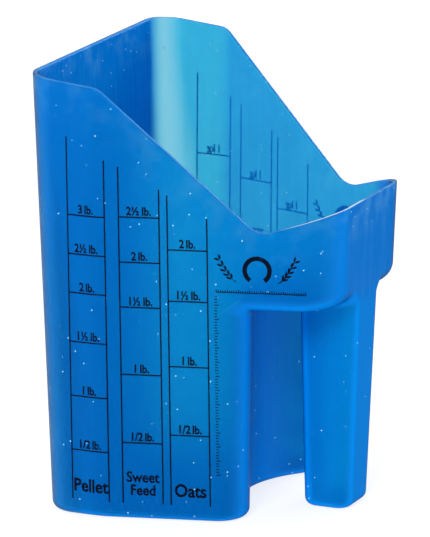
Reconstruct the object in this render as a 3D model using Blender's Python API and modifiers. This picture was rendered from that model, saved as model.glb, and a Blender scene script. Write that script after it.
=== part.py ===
"""Feed scoop: one translucent moulding with printed scales.

Frame: metres, +Z up. The origin is on the floor, under the middle of the scoop's length and width. +X
runs from the tip wall to the handle, and the moulding is the same on both sides of the plane Y = 0.
Lengths along X below are measured from the tip wall's rim, and main() moves everything back by half of
the overall length.
"""

import math

import bmesh
import bpy

# Driving dimensions. A wall's place is given at the height of the tip wall's rim, and its draft brings
# it inwards below that.
HEIGHT = 0.230
HALF_WIDTH = 0.0815
BEND_X = 0.040  # where the straight sides turn and converge
TAPER = math.radians(15.0)
LENGTH = 0.1575  # from the tip wall's rim to the nose's rim
WALL = 0.0025

SIDE_DRAFT = math.radians(1.25)
TIP_DRAFT = math.radians(1.6)
NOSE_DRAFT = math.radians(2.4)
BACK_DRAFT = math.radians(0.5)
GRIP_DRAFT = math.radians(1.0)

TIP_RADIUS = 0.016
BEND_RADIUS = 0.040
NOSE_RADIUS = 0.027
FOOT_RADIUS = 0.004  # round between the walls and the underside

# The rim, seen from the side: level, down a diagonal, round a notch and up to the nose.
SHOULDER_X, SHOULDER_Z, SHOULDER_RADIUS = 0.041, 0.226, 0.010
NOTCH_X, NOTCH_Z, NOTCH_RADIUS = 0.1195, 0.1525, 0.012
NOSE_RIM_Z = 0.1645
NOSE_X = LENGTH + (HEIGHT - NOSE_RIM_Z) * math.tan(NOSE_DRAFT)  # the nose wall's place at full height

# The collar joins the measuring chamber and the handle above the finger gap.
COLLAR_Z = 0.1115
COLLAR_RADIUS = 0.009

# The back of the chamber is hollowed for the fingers, between two round lobes.
LOBE_RADIUS = 0.016
RECESS_RADIUS = 0.053
RECESS_ANGLE = math.radians(39.0)  # how far each half of the hollow turns from straight across
RECESS_X = 0.093  # its deepest point

# The handle column, whose back is one face with the nose.
GRIP_FRONT_X = 0.1205
GRIP_HALF_WIDTH = 0.0197
GRIP_RADIUS = 0.008

# Printed scales. Rails stand in pairs, and their tops step down towards the handle.
RAIL_X = ((0.024, 0.044), (0.051, 0.071), (0.075, 0.0945))
RAIL_FOOT_Z = 0.0088
RAIL_TOP_Z = ((0.200, 0.189), (0.186, 0.175), (0.172, 0.1605))
INK_WIDTH = 0.0007
INK_THICKNESS = 0.0002
INK_GAP = 0.0003

# Each scale: how many marks, the step between them in pounds or kilograms, the height of nought, and
# the rise for each pound or kilogram below and above the collar.
POUND_SCALES = {
    "pellet": (6, 0.5, 0.0065, 0.0575, 0.0408),
    "sweet_feed": (5, 0.5, 0.0048, 0.0725, 0.0472),
    "oats": (4, 0.5, 0.0096, 0.0728, 0.0537),
}
KILOGRAM_SCALES = {
    "oats": (4, 0.25, 0.0096, 0.1605, 0.124),
    "sweet_feed": (4, 0.25, 0.0050, 0.148, 0.125),
    "pellet": (4, 0.25, 0.0065, 0.135, 0.100),
}

# The emblem: a horseshoe, by its middle, outer radius, band width and opening.
EMBLEM_X, EMBLEM_Z = 0.119, 0.1345
EMBLEM_RADIUS = 0.0075
EMBLEM_BAND = 0.0022
EMBLEM_OPENING = math.radians(70.0)

REACH = 0.0003  # how far footprints stand outside the walls that trim them
OVERLAP = 0.010
ARC_STEP = math.radians(9.0)
TINY = 1e-9

PLASTIC = (0.000, 0.165, 0.62)
INK = (0.010, 0.012, 0.035)


# ---------------------------------------------------------------------------------------------
# Scene, materials, collections


def clear_scene():
    for obj in list(bpy.data.objects):
        bpy.data.objects.remove(obj)


def collection(name, parent=None):
    made = bpy.data.collections.new(name)
    (parent or bpy.context.scene.collection).children.link(made)
    return made


def material(name, colour, roughness, metallic=0.0, transmission=0.0):
    made = bpy.data.materials.new(name)
    made.use_nodes = True
    shader = made.node_tree.nodes["Principled BSDF"]
    shader.inputs["Base Color"].default_value = (*colour, 1.0)
    shader.inputs["Roughness"].default_value = roughness
    shader.inputs["Metallic"].default_value = metallic
    shader.inputs["Transmission Weight"].default_value = transmission
    made.diffuse_color = (*colour, 1.0)
    return made


def new_object(name, bm, group, look=None):
    """An object from a bmesh, with its faces facing out."""
    bmesh.ops.recalc_face_normals(bm, faces=bm.faces)
    mesh = bpy.data.meshes.new(name)
    bm.to_mesh(mesh)
    bm.free()
    obj = bpy.data.objects.new(name, mesh)
    group.objects.link(obj)
    if look:
        mesh.materials.append(look)
    return obj


def as_cutter(obj):
    obj.hide_render = True
    obj.display_type = "WIRE"
    return obj


def combine(obj, other, operation):
    modifier = obj.modifiers.new(operation.title(), "BOOLEAN")
    modifier.object = other
    modifier.operation = operation
    modifier.solver = "EXACT"


# ---------------------------------------------------------------------------------------------
# Outlines: straight walls with a round at each corner


def corner_of(first, second):
    """Where two lines meet, each given as (angle of its normal, distance from the origin)."""
    (a, d), (b, e) = first, second
    turn = math.sin(b - a)
    return (
        (d * math.sin(b) - e * math.sin(a)) / turn,
        (e * math.cos(a) - d * math.cos(b)) / turn,
    )


def rounded(corners):
    """Points round a closed polygon of (x, y, radius) corners, each cut to an arc of its radius."""
    points = []
    for i, (x, y, radius) in enumerate(corners):
        before, after = corners[i - 1], corners[(i + 1) % len(corners)]
        heading_in = math.atan2(y - before[1], x - before[0])
        heading_out = math.atan2(after[1] - y, after[0] - x)
        turn = (heading_out - heading_in + math.pi) % math.tau - math.pi
        if radius <= TINY:
            points.append((x, y))
            continue
        back_off = radius * math.tan(abs(turn) / 2)
        start_x = x - back_off * math.cos(heading_in)
        start_y = y - back_off * math.sin(heading_in)
        side = math.copysign(1.0, turn)
        centre_x = start_x - side * radius * math.sin(heading_in)
        centre_y = start_y + side * radius * math.cos(heading_in)
        steps = max(2, round(abs(turn) / ARC_STEP))
        for step in range(steps + 1):
            heading = heading_in + turn * step / steps
            points.append((
                centre_x + side * radius * math.sin(heading),
                centre_y - side * radius * math.cos(heading),
            ))
    return points


def outline(walls, height, inset):
    """The outline of some walls at a height. Each wall is (angle of its normal, distance at the rim's
    height, draft, radius of the corner after it, 1 for a convex corner or -1 for a hollow one)."""
    lines = [
        (angle, distance - (HEIGHT - height) * math.tan(draft) - inset)
        for angle, distance, draft, _, _ in walls
    ]
    corners = []
    for i, (_, _, _, radius, bulge) in enumerate(walls):
        x, y = corner_of(lines[i], lines[(i + 1) % len(lines)])
        corners.append((x, y, radius - bulge * inset))
    return rounded(corners)


def taper_distance():
    """Distance from the origin of the converging side's line."""
    return BEND_X * math.sin(TAPER) + HALF_WIDTH * math.cos(TAPER)


def vessel_walls(reach=0.0):
    """The whole scoop's outline, from the tip wall round to the nose and back."""
    slant = math.pi / 2 - TAPER
    right = math.pi / 2
    taper = taper_distance() + reach
    side = HALF_WIDTH + reach
    return [
        (math.pi, reach, TIP_DRAFT, TIP_RADIUS, 1),
        (-right, side, SIDE_DRAFT, BEND_RADIUS, 1),
        (-slant, taper, SIDE_DRAFT, NOSE_RADIUS, 1),
        (0.0, NOSE_X + reach, NOSE_DRAFT, NOSE_RADIUS, 1),
        (slant, taper, SIDE_DRAFT, BEND_RADIUS, 1),
        (right, side, SIDE_DRAFT, TIP_RADIUS, 1),
    ]


def chamber_walls():
    """The measuring chamber's outline: the vessel's front, ending in the two lobes and the hollow."""
    walls = vessel_walls(REACH)
    tip, near_side, near_taper, _, far_taper, far_side = walls
    hollow_depth = RECESS_RADIUS * (1 / math.cos(RECESS_ANGLE) - 1)
    reach = (RECESS_X - hollow_depth) * math.cos(RECESS_ANGLE)
    return [
        tip,
        near_side,
        (*near_taper[:3], LOBE_RADIUS, 1),
        (RECESS_ANGLE, reach, BACK_DRAFT, RECESS_RADIUS, -1),
        (-RECESS_ANGLE, reach, BACK_DRAFT, LOBE_RADIUS, 1),
        far_taper,
        far_side,
    ]


def grip_walls():
    right = math.pi / 2
    return [
        (math.pi, -GRIP_FRONT_X, GRIP_DRAFT, GRIP_RADIUS, 1),
        (-right, GRIP_HALF_WIDTH, GRIP_DRAFT, GRIP_RADIUS, 1),
        (0.0, NOSE_X + 3 * REACH, NOSE_DRAFT, GRIP_RADIUS, 1),
        (right, GRIP_HALF_WIDTH, GRIP_DRAFT, GRIP_RADIUS, 1),
    ]


# ---------------------------------------------------------------------------------------------
# Solids lofted through outlines


def lofted(name, walls, bottom, top, inset, edge_radius, group):
    """A closed block between two heights, drafted on each wall and rounded at its lower edge."""
    rings = []
    steps = 4
    for step in range(steps):
        angle = math.pi / 2 * step / steps
        rings.append((bottom + edge_radius * (1 - math.cos(angle)), edge_radius * (1 - math.sin(angle))))
    rings.append((bottom + edge_radius, 0.0))
    rings.append((top, 0.0))
    bm = bmesh.new()
    loops = []
    for height, more in rings:
        points = outline(walls, height, inset + more)
        loops.append([bm.verts.new((x, y, height)) for x, y in points])
    bm.faces.new(loops[0])
    bm.faces.new(loops[-1])
    for lower, upper in zip(loops, loops[1:]):
        for i in range(len(lower)):
            j = (i + 1) % len(lower)
            bm.faces.new((lower[i], lower[j], upper[j], upper[i]))
    return new_object(name, bm, group)


def scoop_form(name, inset, group):
    """The scoop as a solid block: its outside, or with an inset of the wall its inside."""
    top = HEIGHT + OVERLAP
    floor = inset
    foot = FOOT_RADIUS - inset
    form = lofted(name, vessel_walls(), floor - REACH, top, inset, foot, group)
    footprint = lofted(name + "_chamber", chamber_walls(), floor, top + OVERLAP, inset, foot, group)
    collar = lofted(
        name + "_collar", vessel_walls(2 * REACH), COLLAR_Z + inset, top + 2 * OVERLAP, inset,
        COLLAR_RADIUS - inset, group,
    )
    grip = lofted(name + "_grip", grip_walls(), floor, COLLAR_Z + 3 * OVERLAP, inset, foot, group)
    for piece in (footprint, collar, grip):
        as_cutter(piece)
    combine(footprint, collar, "UNION")
    combine(footprint, grip, "UNION")
    combine(form, footprint, "INTERSECT")
    return form


def above_the_rim(group):
    """Everything over the rim: its side profile, drawn right across the scoop."""
    side = HALF_WIDTH + OVERLAP
    slope = (NOSE_RIM_Z - NOTCH_Z) / (LENGTH - NOTCH_X)
    end_x = NOSE_X + OVERLAP
    top = HEIGHT + 4 * OVERLAP
    tip_slope = (HEIGHT - SHOULDER_Z) / SHOULDER_X
    corners = [
        (-OVERLAP, HEIGHT + tip_slope * OVERLAP, 0.0),
        (SHOULDER_X, SHOULDER_Z, SHOULDER_RADIUS),
        (NOTCH_X, NOTCH_Z, NOTCH_RADIUS),
        (end_x, NOTCH_Z + slope * (end_x - NOTCH_X), 0.0),
        (end_x, top, 0.0),
        (-OVERLAP, top, 0.0),
    ]
    bm = bmesh.new()
    profile = bm.faces.new([bm.verts.new((x, -side, z)) for x, z in rounded(corners)])
    swept = bmesh.ops.extrude_face_region(bm, geom=[profile])["geom"]
    across = [item for item in swept if isinstance(item, bmesh.types.BMVert)]
    bmesh.ops.translate(bm, verts=across, vec=(0.0, 2 * side, 0.0))
    return as_cutter(new_object("above_the_rim", bm, group))


def scoop_body(group, cutters, look):
    body = scoop_form("scoop_body", 0.0, cutters)
    cutters.objects.unlink(body)
    group.objects.link(body)
    body.data.materials.append(look)
    combine(body, as_cutter(scoop_form("inside", WALL, cutters)), "DIFFERENCE")
    combine(body, above_the_rim(cutters), "DIFFERENCE")
    body.data.shade_smooth()
    body.data.set_sharp_from_angle(angle=math.radians(35.0))
    return body


# ---------------------------------------------------------------------------------------------
# Printed ink


def wall_point(x, height, side, lift):
    """The point of a side wall at this x and height, lifted off it. Side is -1 or 1."""
    inset = (HEIGHT - height) * math.tan(SIDE_DRAFT) - lift
    half = HALF_WIDTH - inset
    bend = BEND_X - inset * math.tan(TAPER / 2)
    radius = BEND_RADIUS + lift
    reach = radius * math.tan(TAPER / 2)
    if x <= bend - reach:
        y = half
    elif x < bend + reach * math.cos(TAPER):
        y = half - radius + math.sqrt(radius**2 - (x - bend + reach) ** 2)
    else:
        y = half - (x - bend) * math.tan(TAPER)
    return (x, side * y, height)


def ink_film(name, bm, group, look):
    """A printed figure, given as a sheet facing away from the wall, with the ink's thickness."""
    mesh = bpy.data.meshes.new(name)
    bm.to_mesh(mesh)
    bm.free()
    mesh.materials.append(look)
    film = bpy.data.objects.new(name, mesh)
    group.objects.link(film)
    thick = film.modifiers.new("Thickness", "SOLIDIFY")
    thick.thickness = INK_THICKNESS
    thick.offset = 1.0
    thick.use_even_offset = True


def printed_cells(name, cells, side, group, look):
    """Ink over some cells of a side wall, each (x, x, height, height)."""
    bm = bmesh.new()
    verts = {}

    def vert(x, z):
        key = (round(x, 7), round(z, 7))
        if key not in verts:
            verts[key] = bm.verts.new(wall_point(x, z, side, INK_GAP))
        return verts[key]

    for x0, x1, z0, z1 in cells:
        around = (vert(x0, z0), vert(x1, z0), vert(x1, z1), vert(x0, z1))
        bm.faces.new(around[::-side])
    ink_film(name, bm, group, look)


def mark_height(amount, nought, rise_below, rise_above):
    at_collar = (COLLAR_Z - nought) / rise_below
    if amount <= at_collar:
        return nought + amount * rise_below
    return COLLAR_Z + (amount - at_collar) * rise_above


def ladder_cells(rails, tops, heights):
    """Cells of two rails and the marks between them. The spans between the rails are cut at the bend."""
    half = INK_WIDTH / 2
    left, right = rails
    levels = sorted({RAIL_FOOT_Z, *tops, *(z + s * half for z in heights for s in (-1, 1))})
    inner = [left + half, right - half]
    if inner[0] < BEND_X < inner[1]:
        pieces = 5
        start = BEND_X - BEND_RADIUS * math.tan(TAPER / 2)
        inner[1:1] = [start + (inner[1] - start) * i / pieces for i in range(pieces)]
    cells = []
    for low, high in zip(levels, levels[1:]):
        for x, top in zip(rails, tops):
            if high <= top + TINY:
                cells.append((x - half, x + half, low, high))
        if any(abs((low + high) / 2 - z) < TINY for z in heights):
            cells.extend((x0, x1, low, high) for x0, x1 in zip(inner, inner[1:]))
    return cells


def printed_scales(scales, unit, side, group, look):
    for rails, tops, (feed, scale) in zip(RAIL_X, RAIL_TOP_Z, scales.items()):
        count, step, nought, below, above = scale
        heights = [mark_height(step * (i + 1), nought, below, above) for i in range(count)]
        cells = ladder_cells(rails, tops, heights)
        printed_cells(f"{feed}_scale_{unit}", cells, side, group, look)


def printed_emblem(name, side, group, look):
    """A horseshoe, open at the bottom, lying on the converging side wall."""
    bm = bmesh.new()
    steps = 20
    start = -math.pi / 2 + EMBLEM_OPENING / 2
    sweep = math.tau - EMBLEM_OPENING
    rows = []
    for step in range(steps + 1):
        angle = start + sweep * step / steps
        row = []
        for radius in (EMBLEM_RADIUS - EMBLEM_BAND, EMBLEM_RADIUS):
            x = EMBLEM_X + radius * math.cos(angle) * math.cos(TAPER)
            z = EMBLEM_Z + radius * math.sin(angle)
            row.append(bm.verts.new(wall_point(x, z, side, INK_GAP)))
        rows.append(row)
    for (inner, outer), (next_inner, next_outer) in zip(rows, rows[1:]):
        around = (inner, outer, next_outer, next_inner)
        bm.faces.new(around[::-side])
    ink_film(name, bm, group, look)


# ---------------------------------------------------------------------------------------------


def main():
    clear_scene()
    group = collection("feed_scoop")
    cutters = collection("feed_scoop_cutters")
    plastic = material("blue_plastic", PLASTIC, 0.35, transmission=0.2)
    ink = material("printing_ink", INK, 0.55)
    scoop_body(group, cutters, plastic)
    printed_scales(POUND_SCALES, "pounds", -1, group, ink)
    printed_scales(KILOGRAM_SCALES, "kilograms", 1, group, ink)
    printed_emblem("emblem_pounds_side", -1, group, ink)
    printed_emblem("emblem_kilograms_side", 1, group, ink)
    for obj in bpy.data.objects:
        obj.location.x = -LENGTH / 2


main()
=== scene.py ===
"""Feed scoop: the moulding's fine surface, its printed scales and its studio."""

import math

import bmesh
import bpy
import numpy as np
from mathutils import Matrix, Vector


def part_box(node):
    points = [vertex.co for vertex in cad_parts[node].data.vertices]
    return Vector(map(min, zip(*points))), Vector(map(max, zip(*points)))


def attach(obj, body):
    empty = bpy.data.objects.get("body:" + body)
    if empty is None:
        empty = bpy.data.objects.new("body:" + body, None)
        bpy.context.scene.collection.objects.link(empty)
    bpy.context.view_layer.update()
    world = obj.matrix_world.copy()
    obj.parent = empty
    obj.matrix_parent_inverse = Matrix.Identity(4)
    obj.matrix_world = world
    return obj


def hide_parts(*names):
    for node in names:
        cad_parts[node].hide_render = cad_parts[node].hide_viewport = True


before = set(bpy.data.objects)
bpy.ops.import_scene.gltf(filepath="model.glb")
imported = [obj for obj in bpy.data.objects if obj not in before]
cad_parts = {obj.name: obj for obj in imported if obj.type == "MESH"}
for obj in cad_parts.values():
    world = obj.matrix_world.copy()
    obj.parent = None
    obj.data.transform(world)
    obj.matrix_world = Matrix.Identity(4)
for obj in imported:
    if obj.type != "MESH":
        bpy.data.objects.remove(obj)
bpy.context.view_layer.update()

import openvdb
from mathutils import Matrix, Vector

LOWEST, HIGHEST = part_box("scoop_body")
HEIGHT = HIGHEST.z
LENGTH = HIGHEST.x - LOWEST.x

# The moulding, as the CAD has it. Walls are placed at the tip wall's height, and drafts bring them in
# below that. X runs from the tip wall's rim.
HALF_WIDTH = 0.0815
WALL = 0.0025
BEND_X = 0.040
TAPER = math.radians(15.0)
SIDE_DRAFT = math.radians(1.25)
TIP_DRAFT = math.radians(1.6)
NOSE_DRAFT = math.radians(2.4)
BACK_DRAFT = math.radians(0.5)
GRIP_DRAFT = math.radians(1.0)
TIP_RADIUS = 0.016
BEND_RADIUS = 0.040
NOSE_RADIUS = 0.027
FOOT_RADIUS = 0.004
SHOULDER_X, SHOULDER_Z, SHOULDER_RADIUS = 0.041, 0.226, 0.010
NOTCH_X, NOTCH_Z, NOTCH_RADIUS = 0.1195, 0.1525, 0.012
NOSE_RIM_Z = 0.1645
NOSE_X = LENGTH + (HEIGHT - NOSE_RIM_Z) * math.tan(NOSE_DRAFT)
COLLAR_Z = 0.1115
COLLAR_RADIUS = 0.009
LOBE_RADIUS = 0.016
RECESS_RADIUS = 0.053
RECESS_ANGLE = math.radians(39.0)
RECESS_X = 0.093
GRIP_FRONT_X = 0.1205
GRIP_HALF_WIDTH = 0.0197
GRIP_RADIUS = 0.008

# Rounds that only the fine surface has
FILLET = 0.0045  # where the legs meet the collar's underside
LIP_RADIUS = 0.0009  # along both edges of the rim

GRID_STEP = 0.0008
BODY_FACES = 190_000


# ---------------------------------------------------------------------------------------------
# The moulding as a distance field: below nought inside the plastic, in metres


def rounded_overlap(a, b, radius, between=math.pi / 2):
    """Distance to what two shapes share, their corner cut to a round. Between is the angle between the
    normals of their faces there."""
    u, v = a + radius, b + radius
    cosine, sine = math.cos(between), math.sin(between)
    in_corner = (u > v * cosine) & (v > u * cosine)
    arc = np.sqrt(np.maximum(u * u + v * v - 2 * cosine * u * v, 0)) / sine - radius
    return np.where(in_corner, arc, np.maximum(a, b))


def rounded_union(a, b, radius, between=math.pi / 2):
    return -rounded_overlap(-a, -b, radius, between)


def wall_distance(x, y, z, angle, distance, draft):
    """From a flat wall, given by its normal's angle and its distance from the origin at full height."""
    return math.cos(angle) * x + math.sin(angle) * y - distance + (HEIGHT - z) * math.tan(draft)


def outside(x, y, z):
    """Distance from the moulding's outside, as a solid block."""
    y = np.abs(y)
    slant = math.pi / 2 - TAPER
    taper_at = BEND_X * math.sin(TAPER) + HALF_WIDTH * math.cos(TAPER)
    tip = wall_distance(x, y, z, math.pi, 0.0, TIP_DRAFT)
    side = wall_distance(x, y, z, math.pi / 2, HALF_WIDTH, SIDE_DRAFT)
    taper = wall_distance(x, y, z, slant, taper_at, SIDE_DRAFT)
    nose = wall_distance(x, y, z, 0.0, NOSE_X, NOSE_DRAFT)

    front = rounded_overlap(tip, side, TIP_RADIUS)
    front = np.maximum(front, rounded_overlap(side, taper, BEND_RADIUS, TAPER))
    vessel = np.maximum(front, rounded_overlap(taper, nose, NOSE_RADIUS, slant))

    hollow_depth = RECESS_RADIUS * (1 / math.cos(RECESS_ANGLE) - 1)
    reach = (RECESS_X - hollow_depth) * math.cos(RECESS_ANGLE)
    back = wall_distance(x, y, z, -RECESS_ANGLE, reach, BACK_DRAFT)
    other_back = wall_distance(x, y, z, RECESS_ANGLE, reach, BACK_DRAFT)
    back = rounded_union(back, other_back, RECESS_RADIUS, 2 * RECESS_ANGLE)
    chamber = np.maximum(front, rounded_overlap(taper, back, LOBE_RADIUS, slant + RECESS_ANGLE))
    chamber = rounded_overlap(chamber, -z, FOOT_RADIUS)

    grip_front = wall_distance(x, y, z, math.pi, -GRIP_FRONT_X, GRIP_DRAFT)
    grip_side = wall_distance(x, y, z, math.pi / 2, GRIP_HALF_WIDTH, GRIP_DRAFT)
    grip = rounded_overlap(grip_front, grip_side, GRIP_RADIUS)
    grip = np.maximum(grip, rounded_overlap(grip_side, nose, GRIP_RADIUS))
    grip = rounded_overlap(grip, -z, FOOT_RADIUS)

    collar = rounded_overlap(vessel, COLLAR_Z - z, COLLAR_RADIUS)
    legs = rounded_union(rounded_union(collar, chamber, FILLET), grip, FILLET)
    return np.maximum(vessel, legs)


def over_the_rim(x, z):
    """Distance above the rim's profile, seen from the side."""

    def line(x0, z0, x1, z1):
        long = math.hypot(x1 - x0, z1 - z0)
        return ((z - z0) * (x1 - x0) - (x - x0) * (z1 - z0)) / long

    level = line(0.0, HEIGHT, SHOULDER_X, SHOULDER_Z)
    diagonal = line(SHOULDER_X, SHOULDER_Z, NOTCH_X, NOTCH_Z)
    nose = line(NOTCH_X, NOTCH_Z, LENGTH, NOSE_RIM_Z)
    fall = math.atan2(SHOULDER_Z - NOTCH_Z, NOTCH_X - SHOULDER_X)
    rise = math.atan2(NOSE_RIM_Z - NOTCH_Z, LENGTH - NOTCH_X)
    dip = math.atan2(HEIGHT - SHOULDER_Z, SHOULDER_X)
    lower = rounded_union(diagonal, nose, NOTCH_RADIUS, fall + rise)
    return rounded_overlap(level, lower, SHOULDER_RADIUS, fall - dip)


def plastic(x, y, z):
    """Distance from the plastic: a wall of even thickness, up to the rim."""
    x = x + LENGTH / 2
    skin = np.abs(outside(x, y, z) + WALL / 2) - WALL / 2
    return rounded_overlap(skin, over_the_rim(x, z), LIP_RADIUS)


def slopes(points):
    """The field's gradient at some points, as unit normals, with the field's values."""
    step = 0.00004
    x, y, z = points.T
    across = plastic(x + step, y, z) - plastic(x - step, y, z)
    along = plastic(x, y + step, z) - plastic(x, y - step, z)
    up = plastic(x, y, z + step) - plastic(x, y, z - step)
    normals = np.stack([across, along, up], -1)
    normals /= np.maximum(np.linalg.norm(normals, axis=1, keepdims=True), 1e-12)
    return normals, plastic(x, y, z)


def settled(points):
    """The points moved onto the field's surface, and their normals."""
    for _ in range(3):
        normals, values = slopes(points)
        points = points - normals * np.clip(values, -GRID_STEP, GRID_STEP)[:, None]
    return points, slopes(points)[0]


def mesh_from(name, points, faces):
    """A mesh of faces that all have the same number of sides."""
    mesh = bpy.data.meshes.new(name)
    mesh.vertices.add(len(points))
    mesh.vertices.foreach_set("co", points.astype(np.float32).ravel())
    sides = faces.shape[1]
    mesh.loops.add(faces.size)
    mesh.loops.foreach_set("vertex_index", faces.astype(np.int32).ravel())
    mesh.polygons.add(len(faces))
    mesh.polygons.foreach_set("loop_start", np.arange(len(faces), dtype=np.int32) * sides)
    mesh.update(calc_edges=True)
    return mesh


def moulding_mesh():
    """The moulding's surface: a fine even mesh, thinned where it is flat, with exact normals."""
    margin = 3 * GRID_STEP
    lowest = np.array(LOWEST) - margin
    steps = np.ceil((np.array(HIGHEST) + margin - lowest) / GRID_STEP).astype(int) + 1
    x, y, z = (np.float32(lowest[i] + GRID_STEP * np.arange(steps[i])) for i in range(3))
    values = plastic(x[:, None, None], y[None, :, None], z)
    grid = openvdb.FloatGrid(margin)
    grid.copyFromArray(np.clip(values, -margin, margin), tolerance=GRID_STEP * 1e-3)
    points, faces = grid.convertToQuads(0.0)
    fine = mesh_from("fine", lowest + points * GRID_STEP, faces)

    holder = bpy.data.objects.new("fine", fine)
    bpy.context.scene.collection.objects.link(holder)
    thin = holder.modifiers.new("Thin", "DECIMATE")
    thin.ratio = min(1.0, BODY_FACES / (2 * len(faces)))
    ready = holder.evaluated_get(bpy.context.evaluated_depsgraph_get())
    mesh = bpy.data.meshes.new_from_object(ready)
    bpy.data.objects.remove(holder)

    points = np.empty(3 * len(mesh.vertices), np.float32)
    mesh.vertices.foreach_get("co", points)
    points, normals = settled(points.reshape(-1, 3).astype(float))
    mesh.vertices.foreach_set("co", points.astype(np.float32).ravel())
    mesh.shade_smooth()
    mesh.normals_split_custom_set_from_vertices(normals)
    below = -over_the_rim(points[:, 0] + LENGTH / 2, points[:, 2])
    mesh.attributes.new("below_rim", "FLOAT", "POINT").data.foreach_set("value", below.astype(np.float32))
    mesh.update()
    return mesh


def piece(name, mesh, look, slot, *nodes):
    """A visible piece that stands for some CAD nodes."""
    obj = bpy.data.objects.new(name, mesh)
    bpy.context.scene.collection.objects.link(obj)
    mesh.materials.clear()
    mesh.materials.append(look)
    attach(obj, "root")
    if nodes:
        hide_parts(*nodes)
    return obj


# ---------------------------------------------------------------------------------------------
# Printed ink

INK_LIFT = 0.00004
INK_DEPTH = 0.00005
INK_WIDTH = 0.0007

# The rails of each scale, from the tip: their X, their foot and their tops
RAIL_X = ((0.024, 0.044), (0.051, 0.071), (0.075, 0.0945))
RAIL_FOOT_Z = 0.0088
RAIL_TOP_Z = ((0.200, 0.189), (0.186, 0.175), (0.172, 0.1605))

INK_STEP = 0.0010  # longest stretch of ink across the wall's bend
SAME_PLACE = 1e-6  # corners of ink closer than this become one

# Lettering: heights and lifts in metres. Narrow squeezes the letters sideways, and weight thickens
# their strokes, as a share of their height.
CAP_SHARE = 0.72  # height of a capital in Blender's own font, of the font's size
WORD_GAP = 0.6
CURVE_STEPS = 3
LONGEST_CORNER = 2.0
LABEL_HEIGHT, LABEL_LIFT = 0.0044, 0.0012
LABEL_NARROW, LABEL_WEIGHT = 0.86, 0.04
HEADING_HEIGHT, HEADING_Z, HEADING_STEP = 0.0064, 0.0133, 0.0069
HEADING_NARROW, HEADING_WEIGHT = 0.88, 0.032
ONE_WORD, TWO_WORDS = 1.08, 0.88  # a heading's size, of its height

# The horseshoe, and a sprig of oats on each side of it
EMBLEM_X, EMBLEM_Z = 0.119, 0.1345
SHOE_RADIUS, SHOE_BAND, SHOE_OPENING, SHOE_STEPS = 0.0075, 0.0023, math.radians(70.0), 36
STEM_START, STEM_REACH, STEM_HALF_WIDTH, STEM_STEPS = 0.0105, 0.0085, 0.0002, 14
STEM_FOOT, STEM_RISE, STEM_CURVE = -0.0062, 0.0115, 1.6
GRAIN_PAIRS, FIRST_GRAIN, GRAIN_SPACING = 5, 0.25, 0.18  # the last two as shares of the stem
GRAIN_TILTS = (0.25, 1.25)
GRAIN_OUT, GRAIN_HALF_LENGTH, GRAIN_HALF_WIDTH, GRAIN_STEPS = 0.0019, 0.0014, 0.00055, 12

# The fine ladder beside the scales, and the fine rule under the emblem
FINE_X, FINE_FOOT_Z, FINE_STEP, FINE_MARKS = 0.0977, 0.0255, 0.0015, 64
FINE_LENGTH, FINE_WIDTH, FINE_LONGER = 0.0014, 0.00045, 1.6
RULE_X, RULE_Z, RULE_STEP, RULE_MARKS = 0.0985, 0.1228, 0.0011, 41
RULE_RISE, RULE_TALLER = 0.0008, 1.5
MARKS_TO_A_LONG_ONE = 5

# How many marks, the step between them, the height of nought, the rise for each pound or kilogram
# below and above the collar, and the feed's name at the foot.
POUND_SCALES = {
    "pellet": (6, 0.5, 0.0065, 0.0575, 0.0408, ("Pellet",)),
    "sweet_feed": (5, 0.5, 0.0048, 0.0725, 0.0472, ("Sweet", "Feed")),
    "oats": (4, 0.5, 0.0096, 0.0728, 0.0537, ("Oats",)),
}
KILOGRAM_SCALES = {
    "oats": (4, 0.25, 0.0096, 0.1605, 0.124, ("Oats",)),
    "sweet_feed": (4, 0.25, 0.0050, 0.148, 0.125, ("Sweet", "Feed")),
    "pellet": (4, 0.25, 0.0065, 0.135, 0.100, ("Pellet",)),
}
POUND_LABELS = ("1/2 lb.", "1 lb.", "1\u00bd lb.", "2 lb.", "2\u00bd lb.", "3 lb.")
KILOGRAM_LABELS = ("250 g", "500 g", "750 g", "1 kg")


def wall_y(x, z, lift):
    """Half the scoop's width at this x and height, a little proud of the wall."""
    inset = (HEIGHT - z) * math.tan(SIDE_DRAFT) - lift
    half = HALF_WIDTH - inset
    bend = BEND_X - inset * math.tan(TAPER / 2)
    radius = BEND_RADIUS + lift
    start = bend - radius * math.tan(TAPER / 2)
    into = np.clip(x - start, 0, radius * math.sin(TAPER))
    curved = half - radius + np.sqrt(radius**2 - into**2)
    return np.where(x < start + radius * math.sin(TAPER), curved, half - (x - bend) * math.tan(TAPER))


def thicken(letters, out):
    """Moves the outlines of extruded letters outwards, and keeps every face. A corner goes further than
    the sides that meet there, but not past LONGEST_CORNER times as far."""
    bmesh.ops.remove_doubles(letters, verts=letters.verts, dist=SAME_PLACE)
    letters.normal_update()
    bmesh.ops.recalc_face_normals(letters, faces=letters.faces)
    moves = []
    for vert in letters.verts:
        sides = [face.normal for face in vert.link_faces if abs(face.normal.z) < 0.5]
        total = sum(sides, Vector())
        reach = min(2 / max(total.length, SAME_PLACE), LONGEST_CORNER)
        moves.append(total.normalized() * out * reach)
    for vert, move in zip(letters.verts, moves):
        vert.co += move


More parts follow.
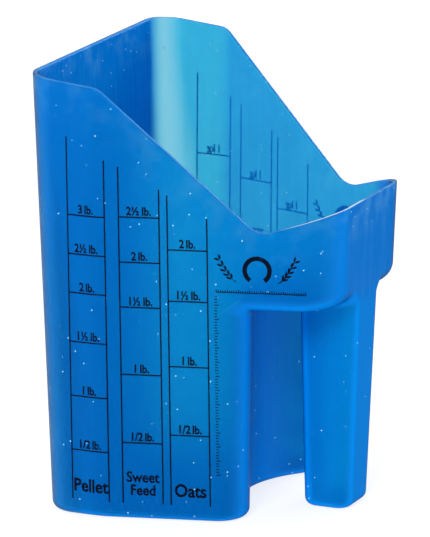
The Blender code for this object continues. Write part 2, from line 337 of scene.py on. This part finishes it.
class Print:
    """Ink on one side wall, gathered as flat shapes of (x, depth, height), then wrapped onto the wall."""

    def __init__(self, side):
        self.side = side
        self.bm = bmesh.new()

    def strip(self, x0, x1, z0, z1):
        """A closed bar of ink, cut along X so that it follows the bend."""
        pieces = max(1, math.ceil((x1 - x0) / INK_STEP))
        rings = []
        for i in range(pieces + 1):
            x = x0 + (x1 - x0) * i / pieces
            corners = ((z0, 0), (z1, 0), (z1, 1), (z0, 1))
            rings.append([self.bm.verts.new((x, depth * INK_DEPTH, z)) for z, depth in corners])
        self.bm.faces.new(rings[0])
        self.bm.faces.new(rings[-1])
        for here, there in zip(rings, rings[1:]):
            for i in range(4):
                j = (i + 1) % 4
                self.bm.faces.new((here[i], here[j], there[j], there[i]))

    def shape(self, outline, x, z):
        """A flat filled shape, by its outline of (along the wall, up) about a place on the wall."""
        slant = math.cos(TAPER) if x > BEND_X else 1.0
        front = [self.bm.verts.new((x - self.side * u * slant, INK_DEPTH, z + v)) for u, v in outline]
        back = [self.bm.verts.new((x - self.side * u * slant, 0, z + v)) for u, v in outline]
        self.bm.faces.new(front)
        self.bm.faces.new(back[::-1])
        for i in range(len(outline)):
            j = (i + 1) % len(outline)
            self.bm.faces.new((front[i], back[i], back[j], front[j]))

    def text(self, words, x, z, height, narrow, weight):
        """Words in Blender's own font, centred on x and standing on z. They read from outside, so they
        run the other way along X on the kilograms side."""
        curve = bpy.data.curves.new("words", "FONT")
        curve.body = words
        curve.align_x = "CENTER"
        curve.size = height / CAP_SHARE
        curve.extrude = INK_DEPTH / 2
        curve.space_word = WORD_GAP
        curve.resolution_u = CURVE_STEPS
        holder = bpy.data.objects.new("words", curve)
        bpy.context.scene.collection.objects.link(holder)
        ready = holder.evaluated_get(bpy.context.evaluated_depsgraph_get())
        letters = bmesh.new()
        letters.from_mesh(ready.to_mesh())
        thicken(letters, weight * height)
        slant = math.cos(TAPER) if x > BEND_X else 1.0
        copies = {}
        for vert in letters.verts:
            u, v, depth = vert.co
            place = (x - self.side * u * narrow * slant, depth + INK_DEPTH / 2, z + v)
            copies[vert] = self.bm.verts.new(place)
        for face in letters.faces:
            self.bm.faces.new([copies[vert] for vert in face.verts])
        letters.free()
        ready.to_mesh_clear()
        bpy.data.objects.remove(holder)
        bpy.data.curves.remove(curve)

    def mesh(self, name):
        """The ink, wrapped onto its wall."""
        bmesh.ops.remove_doubles(self.bm, verts=self.bm.verts, dist=SAME_PLACE)
        for vert in self.bm.verts:
            x, depth, z = vert.co
            y = self.side * float(wall_y(x, z, INK_LIFT + depth))
            vert.co = (x - LENGTH / 2, y, z)
        self.bm.normal_update()
        bmesh.ops.recalc_face_normals(self.bm, faces=self.bm.faces)
        mesh = bpy.data.meshes.new(name)
        self.bm.to_mesh(mesh)
        self.bm.free()
        return mesh


def mark_height(amount, nought, rise_below, rise_above):
    """Height of the mark for an amount of feed. The vessel is wider above the collar's underside, so
    the marks there are closer together."""
    at_collar = (COLLAR_Z - nought) / rise_below
    if amount <= at_collar:
        return nought + amount * rise_below
    return COLLAR_Z + (amount - at_collar) * rise_above


def printed_scale(name, scale, labels, rails, tops, side, ink):
    """Two rails with graduations between them, their labels, and the feed's name at the foot."""
    count, step, nought, below, above, heading = scale
    half = INK_WIDTH / 2
    left, right = rails
    middle = (left + right) / 2
    lines = Print(side)
    for x, top in zip(rails, tops):
        lines.strip(x - half, x + half, RAIL_FOOT_Z, top)
    for i in range(count):
        z = mark_height(step * (i + 1), nought, below, above)
        lines.strip(left + half, right - half, z - half, z + half)
        lines.text(labels[i], middle, z + LABEL_LIFT, LABEL_HEIGHT, LABEL_NARROW, LABEL_WEIGHT)
    for i, word in enumerate(reversed(heading)):
        size = HEADING_HEIGHT * (TWO_WORDS if len(heading) > 1 else ONE_WORD)
        lines.text(word, middle, HEADING_Z + i * HEADING_STEP, size, HEADING_NARROW, HEADING_WEIGHT)
    piece(name + "_print", lines.mesh(name + "_print"), ink, "ink", name)


def horseshoe(lines):
    """A plain horseshoe, open at the bottom."""
    inner = SHOE_RADIUS - SHOE_BAND
    start = (SHOE_OPENING - math.pi) / 2
    sweep = math.tau - SHOE_OPENING
    angles = [start + sweep * i / SHOE_STEPS for i in range(SHOE_STEPS + 1)]
    outline = [(SHOE_RADIUS * math.cos(a), SHOE_RADIUS * math.sin(a)) for a in angles]
    outline += [(inner * math.cos(a), inner * math.sin(a)) for a in reversed(angles)]
    lines.shape(outline, EMBLEM_X, EMBLEM_Z)


def grain(u, v, lean):
    """The outline of an oval grain of oats, a little way out from a place on the stem."""
    cosine, sine = math.cos(lean), math.sin(lean)
    outline = []
    for i in range(GRAIN_STEPS):
        turn = math.tau * i / GRAIN_STEPS
        out = GRAIN_OUT + GRAIN_HALF_LENGTH * math.cos(turn)
        across = GRAIN_HALF_WIDTH * math.sin(turn)
        outline.append((u + out * cosine - across * sine, v + out * sine + across * cosine))
    return outline


def sprig(lines, facing):
    """A sprig of oats curving up and away from the horseshoe, to one side."""

    def stem(t):
        return facing * (STEM_START + STEM_REACH * t), STEM_FOOT + STEM_RISE * t**STEM_CURVE

    middle = [stem(i / STEM_STEPS) for i in range(STEM_STEPS + 1)]
    left = [(u - STEM_HALF_WIDTH, v + STEM_HALF_WIDTH) for u, v in middle]
    right = [(u + STEM_HALF_WIDTH, v - STEM_HALF_WIDTH) for u, v in middle]
    lines.shape(left + right[::-1], EMBLEM_X, EMBLEM_Z)
    for i in range(GRAIN_PAIRS):
        u, v = stem(FIRST_GRAIN + GRAIN_SPACING * i)
        for tilt in GRAIN_TILTS:
            lines.shape(grain(u, v, math.pi / 2 - facing * tilt), EMBLEM_X, EMBLEM_Z)


def emblem(name, side, ink):
    """The horseshoe between its two sprigs of oats."""
    lines = Print(side)
    horseshoe(lines)
    for facing in (-1, 1):
        sprig(lines, facing)
    piece(name + "_print", lines.mesh(name + "_print"), ink, "ink", name)


def fine_marks(name, side, ink):
    """A fine ladder of graduations up beside the scales, and a fine rule of them under the emblem."""
    lines = Print(side)
    for i in range(FINE_MARKS):
        z = FINE_FOOT_Z + FINE_STEP * i
        reach = FINE_LENGTH if i % MARKS_TO_A_LONG_ONE else FINE_LONGER * FINE_LENGTH
        lines.strip(FINE_X, FINE_X + reach, z, z + FINE_WIDTH)
    for i in range(RULE_MARKS):
        x = RULE_X + RULE_STEP * i
        rise = RULE_RISE if i % MARKS_TO_A_LONG_ONE else RULE_TALLER * RULE_RISE
        lines.strip(x, x + FINE_WIDTH, RULE_Z - FINE_WIDTH / 2, RULE_Z + rise)
    end = RULE_X + RULE_STEP * (RULE_MARKS - 1) + FINE_WIDTH
    lines.strip(RULE_X, end, RULE_Z - FINE_WIDTH, RULE_Z)
    piece(name, lines.mesh(name), ink, "ink")


# ---------------------------------------------------------------------------------------------
# Materials

# The plastic is a mix of a clear shader, seen square on, and a milky one, seen aslant.
CLEAR = (0.3, 0.95, 1.0)
PAINTED_CORNER_LIGHT = (1.0, 0.88, 0.96)  # painted light: the clear shader's paler colour in the tip's corners, which whitens the light through them
MILKY = (0.0, 0.265, 0.91)
MILKY_DARK = (0.0, 0.24, 0.83)
# painted light: a brighter milk on the handle column
PAINTED_GRIP_LIGHT = (0.0, 0.295, 0.96)
# painted shade: the dark milk where faces turn aslant, along outlines and in the recess
PAINTED_EDGE_SHADE = (0.0, 0.02, 0.12)
SHADE_START = 0.15  # painted shade: how far a face has to turn away before its milk darkens
SQUARE, ASLANT = 0.05, 0.52  # where the milk's share starts and stops growing, as a face turns away
LEAST_MILK, MOST_MILK = 0.3, 0.95
# painted light: more milk on the handle column
PAINTED_GRIP_MILK = 0.12
CLOUDIEST, CLEAREST = 1.06, 0.94
PAINTED_CORNER_MILK = 0.4  # painted light: the milk in the tip's corners, as a share of the milk elsewhere
DEPTH_COLOUR, DENSITY = (0.32, 0.87, 0.91), 800.0
SPECULAR, SPECULAR_TINT, IOR = 0.004, (0.0, 0.35, 1.0), 1.45
SMOOTHEST, ROUGHEST = 0.36, 0.46
LIP_COAT, COAT_ROUGHNESS = 0.15, 0.15

# Where it is rubbed or worn, and where light is painted in: the tip's corners, the lip's pale line and
# the nose's glint
CORNER_INSET = 0.0047  # from the tip's and the side's faces to the middle of the corner between
CORNER_CORE, CORNER_REACH = 0.0015, 0.0125
CORNER_TOP, CORNER_FOOT, CORNER_SPREAD = 0.22, 0.13, 0.55
RUBBED_FROM, RUBBED_TO = 0.022, 0.002  # below the rim
HAZE_SHARE, LIP_SHARE = 0.25, 0.12
# painted highlight: the stretch of the nose's rim that is whitened as a glint
GLINT_X, GLINT_Y = (0.050, 0.066), (-0.006, -0.014)
GLINT_DEPTH, GLINT_SHARE = 0.0004, 0.9
GRIP_FADE = 0.006
# pale rim colour: worn haze near the rim, and a painted light line along the lip
RIM_WEAR_AND_LIGHT = (0.2, 0.6, 0.95)
PAINTED_GLINT = (0.8, 0.93, 1.0)

# Its marks: size of cell, radius of mark and share of cells that have one
SPECK = (0.45, 0.85, 1.0)
SPECKS = (0.0042, 0.00042, 0.5)
SCUFFS = (0.0075, 0.00022, 0.45)
SCUFF_SQUEEZE, SCUFF_TURN, SCUFF_SHARE = 0.1, (0.35, 0.5, 0.0), 0.5
SPOT_VARIETY, SPOT_EDGE = 0.15, 0.25  # share of cells with a smaller mark, and a mark's soft edge
MARK_HEIGHT = 0.00001

# Soft patterns: their size and detail, and the height of those in the surface
CLOUD, STREAK, STREAK_SQUEEZE = (0.045, 3.0), (0.004, 3.0), 0.06
RUB, HAZE, PATCH = (0.02, 2.0), (0.009, 4.0), (0.012, 4.0)
WANDER, WANDER_SQUEEZE, WANDER_SHARE = (0.012, 3.0), 0.15, 0.25
WAVE, WAVE_HEIGHT = (0.018, 1.0), 0.00012
PEBBLE, PEBBLE_HEIGHT = (0.0013, 2.0), 0.000005

INK = (0.001, 0.003, 0.014)
INK_WORN = (0.004, 0.07, 0.30)
INK_SPECULAR, INK_SMOOTHEST, INK_ROUGHEST = 0.04, 0.4, 0.6
WEAR, FLECK, DULL = (0.004, 4.0), (0.0006, 2.0), (0.0015, 2.0)
INK_PEBBLE, INK_PEBBLE_HEIGHT = (0.0003, 2.0), 0.000008


class Look:
    """A material and short ways to add nodes to it. Patterns are placed in the object's own metres."""

    def __init__(self, name):
        self.material = bpy.data.materials.new(name)
        self.material.use_nodes = True
        self.nodes = self.material.node_tree.nodes
        self.links = self.material.node_tree.links
        self.shader = self.nodes["Principled BSDF"]
        self.output = self.nodes["Material Output"]
        self.place = self.add("ShaderNodeTexCoord").outputs["Object"]

    def feed(self, node, key, value):
        if isinstance(value, bpy.types.NodeSocket):
            self.links.new(value, node.inputs[key])
        else:
            node.inputs[key].default_value = value

    def add(self, kind, inputs=None, **settings):
        node = self.nodes.new(kind)
        for key, value in settings.items():
            setattr(node, key, value)
        for key, value in (inputs or {}).items():
            self.feed(node, key, value)
        return node

    def math(self, operation, *values):
        inputs = dict(enumerate(values))
        return self.add("ShaderNodeMath", inputs, operation=operation).outputs[0]

    def ramp(self, value, low, high, to_low=0.0, to_high=1.0, shape="LINEAR"):
        """Value carried from one range to another, held at its ends."""
        limits = {"Value": value, "From Min": low, "From Max": high, "To Min": to_low, "To Max": to_high}
        return self.add("ShaderNodeMapRange", limits, interpolation_type=shape).outputs[0]

    def colour(self, share, under, over):
        """A colour over another by some share. The mix node has its colours at sockets 6, 7 and 2."""
        under = (*under, 1) if isinstance(under, tuple) else under
        inputs = {0: share, 6: under, 7: (*over, 1)}
        return self.add("ShaderNodeMix", inputs, data_type="RGBA").outputs[2]

    def stretched(self, scale, turn=(0.0, 0.0, 0.0)):
        """The object's own place, turned and scaled, so that a pattern on it is drawn out."""
        mapping = {"Vector": self.place, "Rotation": turn, "Scale": scale}
        return self.add("ShaderNodeMapping", mapping).outputs[0]

    def noise(self, size, detail, place=None):
        """Soft noise whose patches are about this size."""
        inputs = {"Vector": place or self.place, "Scale": 1 / size, "Detail": detail}
        return self.add("ShaderNodeTexNoise", inputs).outputs["Fac"]

    def dots(self, spacing, radius, kept, place=None):
        """Small spots at random places, some cells left empty: 1 on a spot and 0 off it."""
        cells = self.add("ShaderNodeTexVoronoi", {"Vector": place or self.place, "Scale": 1 / spacing})
        luck = self.add("ShaderNodeSeparateColor", {0: cells.outputs["Color"]}).outputs
        size = self.ramp(luck[0], 1 - kept, 1 + SPOT_VARIETY - kept, 0.0, radius / spacing)
        gap = self.math("SUBTRACT", size, cells.outputs["Distance"])
        return self.ramp(gap, 0.0, SPOT_EDGE * radius / spacing)

    def bump(self, height, distance, under=None):
        """A normal for a surface that a height of 1 raises by this distance, over another's relief."""
        inputs = {"Height": height, "Distance": distance, "Strength": 1.0}
        if under:
            inputs["Normal"] = under
        return self.add("ShaderNodeBump", inputs).outputs[0]


def painted_corner_light(look, x, y, z):
    """1 along the tip's two upright corners, the mask for painted light: there the clear shader is paler
    and the milk thinner, which brightens the light through the wall.
    """
    inset_x = CORNER_INSET - LENGTH / 2 + HEIGHT * math.tan(TIP_DRAFT)
    inset_y = HALF_WIDTH - CORNER_INSET - HEIGHT * math.tan(SIDE_DRAFT)
    along = look.math("MULTIPLY_ADD", z, math.tan(TIP_DRAFT), x)
    along = look.math("SUBTRACT", along, inset_x)
    across = look.math("MULTIPLY_ADD", z, -math.tan(SIDE_DRAFT), look.math("ABSOLUTE", y))
    across = look.math("SUBTRACT", across, inset_y)
    squares = look.math("MULTIPLY_ADD", along, along, look.math("MULTIPLY", across, across))
    away = look.math("SQRT", squares)
    wander = look.noise(*WANDER, look.stretched((1.0, 1.0, WANDER_SQUEEZE)))
    wander = look.ramp(wander, 0.3, 0.7, 1 - WANDER_SHARE, 1 + WANDER_SHARE)
    spread = look.ramp(z, CORNER_FOOT, CORNER_TOP, CORNER_SPREAD, 1.0)
    away = look.math("MULTIPLY", look.math("MULTIPLY", away, wander), spread)
    return look.ramp(away, CORNER_REACH, CORNER_CORE)


def painted_glint_edge(look, x, y, below):
    """1 on the stretch of the nose's rim where a white glint is painted on."""
    along = look.math("MULTIPLY", look.ramp(x, *GLINT_X), look.ramp(y, *GLINT_Y))
    return look.math("MULTIPLY", along, look.ramp(below, GLINT_DEPTH, 0.0))


def grip_part(look, x, z):
    """1 on the handle column below the collar, where a brighter milk is painted on as light."""
    front = GRIP_FRONT_X - LENGTH / 2
    below_collar = look.ramp(z, COLLAR_Z + GRIP_FADE, COLLAR_Z - GRIP_FADE)
    return look.math("MULTIPLY", look.ramp(x, front - GRIP_FADE, front), below_collar)


def pale_marks(look, near_rim):
    """1 on the small specks in the plastic, and less on scuffs, most of them near the rim."""
    drawn_out = look.stretched((1.0, 1.0, SCUFF_SQUEEZE), SCUFF_TURN)
    scuffs = look.dots(*SCUFFS, drawn_out)
    rubbed = look.math("ADD", look.ramp(look.noise(*RUB), 0.45, 0.6), near_rim)
    scuffs = look.math("MULTIPLY", look.math("MULTIPLY", scuffs, rubbed), SCUFF_SHARE)
    return look.math("MAXIMUM", look.dots(*SPECKS), scuffs)


def plastic_look():
    """Blue plastic that lets light through where it is seen square on, and looks milky seen aslant."""
    look = Look("translucent_blue_plastic")
    x, y, z = look.add("ShaderNodeSeparateXYZ", {0: look.place}).outputs
    below = look.add("ShaderNodeAttribute", attribute_name="below_rim").outputs["Fac"]
    facing = look.add("ShaderNodeLayerWeight", {"Blend": 0.5}).outputs["Facing"]

    lip = look.ramp(below, LIP_RADIUS, 0.0)
    near_rim = look.ramp(below, RUBBED_FROM, RUBBED_TO)
    streaks = look.noise(*STREAK, look.stretched((1.0, 1.0, STREAK_SQUEEZE)))
    cloud = look.ramp(look.math("ADD", look.noise(*CLOUD), streaks), 0.7, 1.3)
    haze = look.math("MULTIPLY", near_rim, look.ramp(look.noise(*HAZE), 0.45, 0.75))
    marks = pale_marks(look, near_rim)
    corners = painted_corner_light(look, x, y, z)
    painted_glint = painted_glint_edge(look, x, y, below)
    grip = grip_part(look, x, z)
    surface = look.bump(look.noise(*WAVE), WAVE_HEIGHT)
    surface = look.bump(look.noise(*PEBBLE), PEBBLE_HEIGHT, surface)
    surface = look.bump(marks, MARK_HEIGHT, surface)
    roughness = look.ramp(look.noise(*PATCH), 0.3, 0.7, SMOOTHEST, ROUGHEST)
    coat = look.ramp(lip, 0.0, 1.0, 0.0, LIP_COAT)

    milk = look.colour(cloud, MILKY_DARK, MILKY)
    # Painted light: the handle column gets a brighter copy of the milk.
    milk = look.colour(grip, milk, PAINTED_GRIP_LIGHT)
    # Painted shade: the milk darkens where a face turns aslant, along outlines and in the recess.
    edge = look.math("POWER", look.ramp(facing, SHADE_START, 1.0), 2.0)
    milk = look.colour(edge, milk, PAINTED_EDGE_SHADE)
    milk = look.colour(look.math("MULTIPLY", haze, HAZE_SHARE), milk, RIM_WEAR_AND_LIGHT)
    # Partly wear, partly painted light: a pale line along the rim's lip.
    milk = look.colour(look.math("MULTIPLY", lip, LIP_SHARE), milk, RIM_WEAR_AND_LIGHT)
    # Painted highlight: the nose's rim is whitened where it would glint.
    milk = look.colour(look.math("MULTIPLY", painted_glint, GLINT_SHARE), milk, PAINTED_GLINT)
    clear = look.shader
    # Painted light: the clear shader is paler in the tip's corners.
    look.feed(clear, "Base Color", look.colour(corners, CLEAR, PAINTED_CORNER_LIGHT))
    look.feed(clear, "Transmission Weight", 1.0)
    milky = look.add("ShaderNodeBsdfPrincipled", {"Base Color": look.colour(marks, milk, SPECK)})
    for shader in (clear, milky):
        look.feed(shader, "Roughness", roughness)
        look.feed(shader, "Coat Weight", coat)
        look.feed(shader, "Coat Roughness", COAT_ROUGHNESS)
        look.feed(shader, "IOR", IOR)
        look.feed(shader, "Specular IOR Level", SPECULAR)
        look.feed(shader, "Specular Tint", (*SPECULAR_TINT, 1))
        look.feed(shader, "Normal", surface)

    share = look.ramp(facing, SQUARE, ASLANT, LEAST_MILK, MOST_MILK, "SMOOTHSTEP")
    # Painted light: more milk on the handle column.
    share = look.math("MULTIPLY_ADD", grip, PAINTED_GRIP_MILK, share)
    share = look.math("MULTIPLY", share, look.ramp(cloud, 0.0, 1.0, CLOUDIEST, CLEAREST))
    # Painted light: less milk in the tip's corners.
    share = look.math("MULTIPLY", share, look.ramp(corners, 0.0, 1.0, 1.0, PAINTED_CORNER_MILK))
    # Painted highlight: the glint takes the milk's full share.
    share = look.math("MAXIMUM", look.math("MAXIMUM", share, marks), painted_glint)
    share = look.ramp(share, 0.0, 1.0)
    both = look.add("ShaderNodeMixShader", {0: share, 1: clear.outputs[0], 2: milky.outputs[0]})
    look.feed(look.output, "Surface", both.outputs[0])
    absorb = look.add("ShaderNodeVolumeAbsorption", {"Color": (*DEPTH_COLOUR, 1), "Density": DENSITY})
    look.feed(look.output, "Volume", absorb.outputs["Volume"])
    return look.material


def ink_look():
    """Near-black ink, thin in places where it has worn."""
    look = Look("printing_ink")
    worn = look.ramp(look.noise(*WEAR), 0.58, 0.72)
    fleck = look.ramp(look.noise(*FLECK), 0.5, 0.62)
    wear = look.math("MULTIPLY", worn, fleck)
    roughness = look.ramp(look.noise(*DULL), 0.3, 0.7, INK_SMOOTHEST, INK_ROUGHEST)
    look.feed(look.shader, "Base Color", look.colour(wear, INK, INK_WORN))
    look.feed(look.shader, "Roughness", roughness)
    look.feed(look.shader, "Specular IOR Level", INK_SPECULAR)
    look.feed(look.shader, "Normal", look.bump(look.noise(*INK_PEBBLE), INK_PEBBLE_HEIGHT))
    return look.material


# ---------------------------------------------------------------------------------------------
# Camera, floor and light

AZIMUTH = math.radians(24.152)
ELEVATION = math.radians(14.533)
ROLL = math.radians(-0.159)
DISTANCE = 2.843
TARGET = Vector((0.0697 - LENGTH / 2, 0.0, 0.1168))
FOCAL_LENGTH = 369.0
SENSOR = 36.0
FARTHEST = 50.0

FLOOR_HALF_SIZE = 6.0
FLOOR_Z = -0.0002  # just clear of the feet
FLOOR_SHADE, FLOOR_GLOW, FLOOR_ROUGHNESS = 0.36, 0.75, 0.9

# The tent's strength in front and on the right, where it is 1 elsewhere, and where along Y and X it
# fades from one to the other
FRONT, RIGHT = 0.5, 0.75
FRONT_FADE, RIGHT_FADE = (-0.6, 0.5), (-0.1, 0.7)

# Where each lamp is, the width of its disk, its power and what it is turned towards
KEY = ((0.3, -1.9, 1.5), 1.0, 30.0, (0.0, 0.0, 0.1))
BACK = ((0.7, 2.1, 1.0), 0.6, 12.0, (0.0, 0.0, 0.15))


def add_camera():
    """The photograph's view: a long lens, a little above the scoop and round from its pounds side."""
    data = bpy.data.cameras.new("camera")
    data.lens = FOCAL_LENGTH
    data.sensor_width = SENSOR
    data.clip_end = FARTHEST
    camera = bpy.data.objects.new("camera", data)
    bpy.context.scene.collection.objects.link(camera)
    level = math.cos(ELEVATION)
    back = Vector((math.sin(AZIMUTH) * level, -math.cos(AZIMUTH) * level, math.sin(ELEVATION)))
    camera.location = TARGET + DISTANCE * back
    facing = back.to_track_quat("Z", "Y").to_matrix()
    camera.rotation_euler = (facing @ Matrix.Rotation(ROLL, 3, "Z")).to_euler()
    bpy.context.scene.camera = camera


def area_light(name, location, size, power, target):
    """A round lamp turned towards a place."""
    data = bpy.data.lights.new(name, "AREA")
    data.shape = "DISK"
    data.size = size
    data.energy = power
    light = bpy.data.objects.new(name, data)
    bpy.context.scene.collection.objects.link(light)
    light.location = location
    light.rotation_euler = (Vector(location) - Vector(target)).to_track_quat("Z", "Y").to_euler()


class Tent(Look):
    """The world as a white tent, lit from behind, and darker in front and on the right."""

    def __init__(self, tree):
        self.nodes = tree.nodes
        self.links = tree.links
        self.background = self.nodes["Background"]
        self.place = self.add("ShaderNodeTexCoord").outputs["Generated"]

    def strength(self):
        x, y, _ = self.add("ShaderNodeSeparateXYZ", {0: self.place}).outputs
        front = self.ramp(y, *FRONT_FADE, FRONT, 1.0)
        right = self.ramp(x, *RIGHT_FADE, 1.0, RIGHT)
        return self.math("MULTIPLY", front, right)


def studio():
    """A white floor that stays white round the scoop, the tent and two lamps."""
    mesh = bpy.data.meshes.new("floor")
    far = FLOOR_HALF_SIZE
    corners = [(x, y, FLOOR_Z) for x, y in ((-far, -far), (far, -far), (far, far), (-far, far))]
    mesh.from_pydata(corners, [], [(0, 1, 2, 3)])
    floor = bpy.data.objects.new("floor", mesh)
    bpy.context.scene.collection.objects.link(floor)
    look = Look("floor")
    look.feed(look.shader, "Base Color", (FLOOR_SHADE, FLOOR_SHADE, FLOOR_SHADE, 1))
    look.feed(look.shader, "Roughness", FLOOR_ROUGHNESS)
    look.feed(look.shader, "Specular IOR Level", 0.0)
    look.feed(look.shader, "Emission Color", (1, 1, 1, 1))
    look.feed(look.shader, "Emission Strength", FLOOR_GLOW)
    mesh.materials.append(look.material)
    world = bpy.data.worlds.new("studio")
    world.use_nodes = True
    tent = Tent(world.node_tree)
    tent.feed(tent.background, "Color", (1, 1, 1, 1))
    tent.feed(tent.background, "Strength", tent.strength())
    bpy.context.scene.world = world
    bpy.context.scene.view_settings.view_transform = "Standard"
    area_light("key", *KEY)
    area_light("back", *BACK)


# ---------------------------------------------------------------------------------------------


def main():
    blue = plastic_look()
    ink = ink_look()
    piece("scoop_body_moulding", moulding_mesh(), blue, "plastic", "scoop_body")
    for rails, tops, (feed, scale) in zip(RAIL_X, RAIL_TOP_Z, POUND_SCALES.items()):
        printed_scale(feed + "_scale_pounds", scale, POUND_LABELS, rails, tops, -1, ink)
    for rails, tops, (feed, scale) in zip(RAIL_X, RAIL_TOP_Z, KILOGRAM_SCALES.items()):
        printed_scale(feed + "_scale_kilograms", scale, KILOGRAM_LABELS, rails, tops, 1, ink)
    emblem("emblem_pounds_side", -1, ink)
    emblem("emblem_kilograms_side", 1, ink)
    fine_marks("fine_marks_pounds_side", -1, ink)
    fine_marks("fine_marks_kilograms_side", 1, ink)
    add_camera()
    studio()


main()
